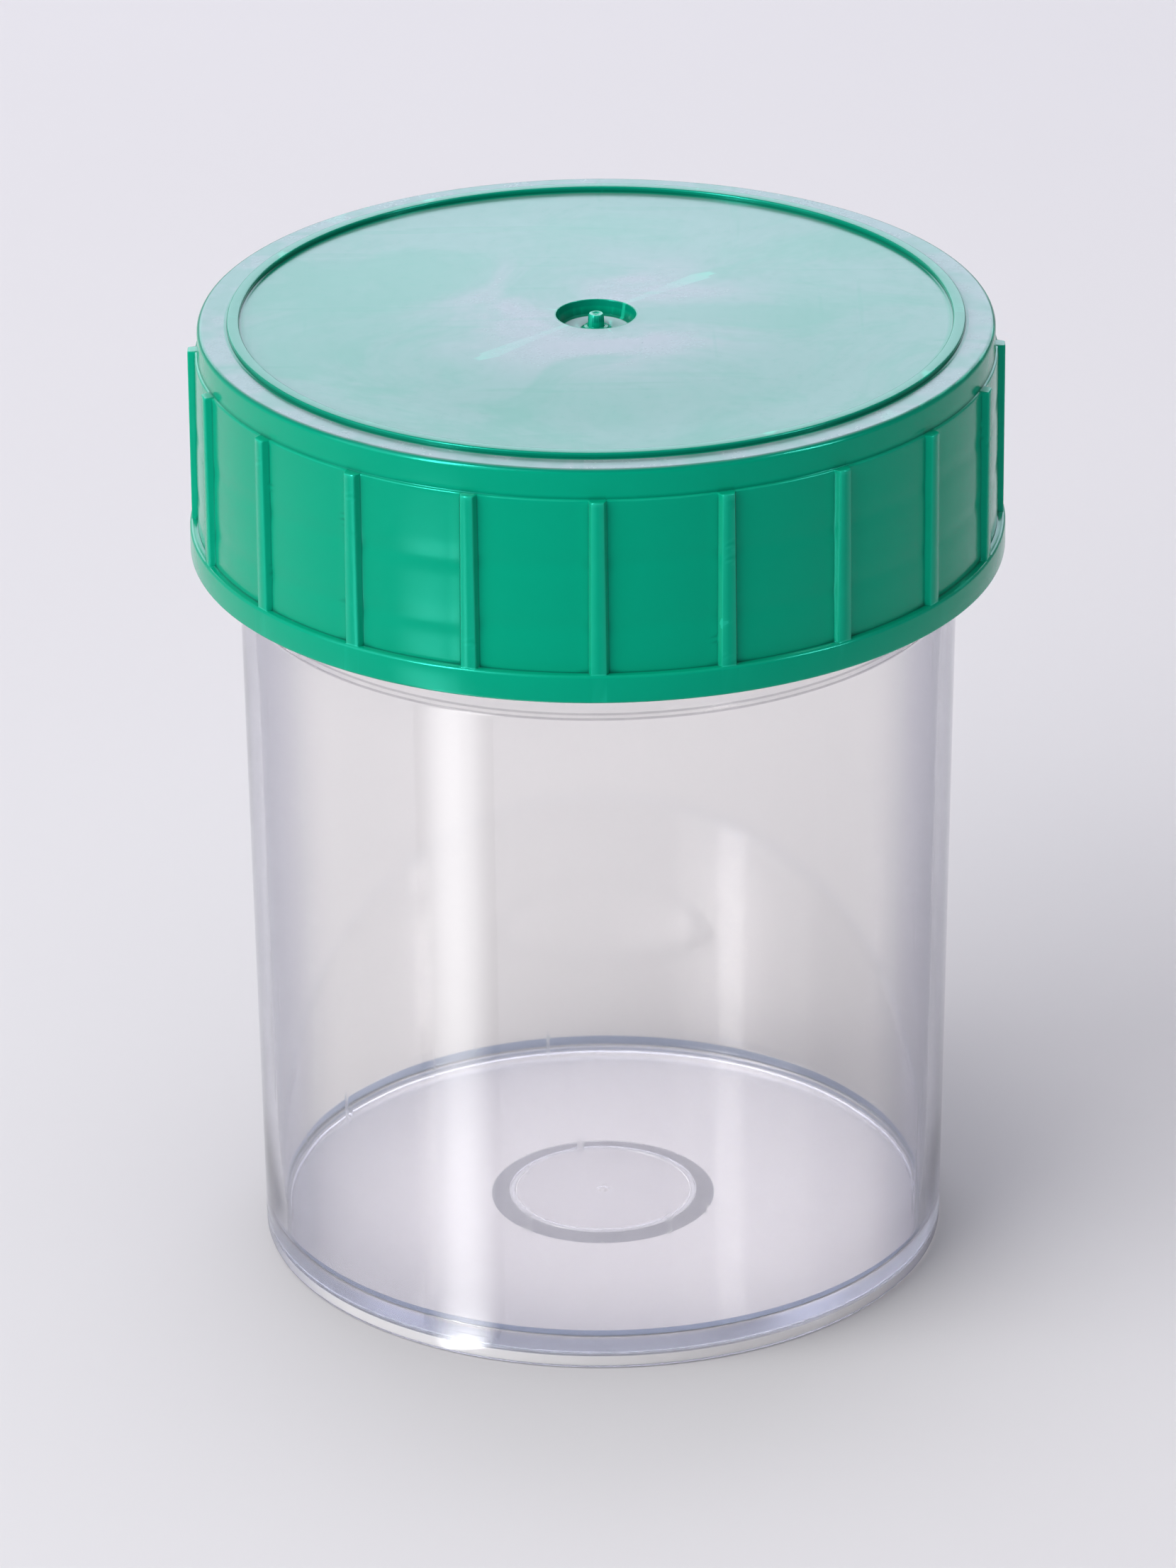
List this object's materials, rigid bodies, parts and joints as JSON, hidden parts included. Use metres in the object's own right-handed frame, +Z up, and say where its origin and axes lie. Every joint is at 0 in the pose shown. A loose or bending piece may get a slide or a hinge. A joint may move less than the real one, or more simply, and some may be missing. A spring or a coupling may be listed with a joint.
{
  "type": "specimen beaker",
  "caption": "Clear tapered specimen beaker with a raised floor, closed by a ribbed one-piece screw cap over a flat seal liner.",
  "frame": {"origin": "centre of the beaker's foot, on the surface that it stands on", "axes": "+Z up along the beaker's axis; -Y faces the front grip rib; lengths in metres"},
  "size_m": [0.061, 0.061, 0.0748],
  "materials": {
    "clear_plastic": "clear polished polypropylene with a faint blue-grey edge tint",
    "liner_foam": "matt white",
    "green_plastic": "semi-gloss moulded green with light scuffs"
  },
  "bodies": {
    "container": {"beaker": "clear_plastic"},
    "seal": {"seal_liner": "liner_foam"},
    "closure": {"screw_cap": "green_plastic"}
  },
  "joints": [
    {"name": "cap_lift", "type": "slide", "parent": "container", "child": "seal", "axis": [0, 0, 1], "range_m": [0, 0.0086]},
    {"name": "cap_turn", "type": "hinge", "parent": "seal", "child": "closure", "pos_m": [0, 0, 0.0728], "axis": [0, 0, 1], "range_deg": [0, 630]}
  ],
  "couplings": [
    {"joint": "cap_lift", "follows": "cap_turn", "m_per_rad": 0.00077986}
  ]
}
